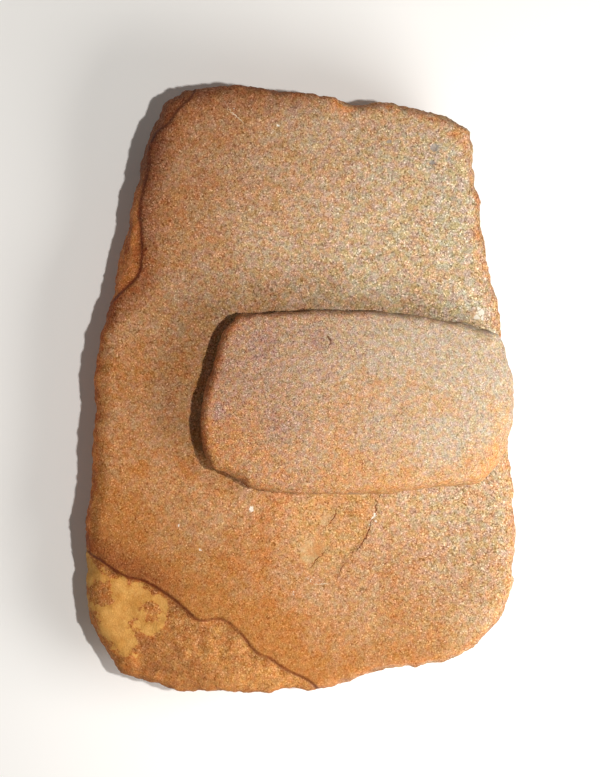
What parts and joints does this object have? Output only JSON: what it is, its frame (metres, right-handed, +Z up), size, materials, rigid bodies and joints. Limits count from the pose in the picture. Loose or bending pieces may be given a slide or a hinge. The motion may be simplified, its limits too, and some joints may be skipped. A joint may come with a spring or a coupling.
{
  "type": "saddle quern",
  "caption": "Saddle quern of coarse red-brown sandstone: a slab worn hollow by grinding, broken at a corner, with an oblong handstone lying across it.",
  "frame": {"origin": "on the surface that the bed stone stands on, under the middle of the pair's bounding box", "axes": "+Z up, out of the worn grinding face; +Y along the bed stone towards its narrow end; +X to the right, towards the side that the handstone reaches"},
  "size_m": [0.3198, 0.4494, 0.1106],
  "materials": {
    "red_sandstone": "coarse granular red-brown sandstone, worn on its grinding face",
    "fine_sandstone": "finer pink-brown sandstone, smoothed by handling and grinding"
  },
  "bodies": {
    "root": {"bed_stone": "red_sandstone", "handstone": "fine_sandstone"}
  },
  "joints": []
}
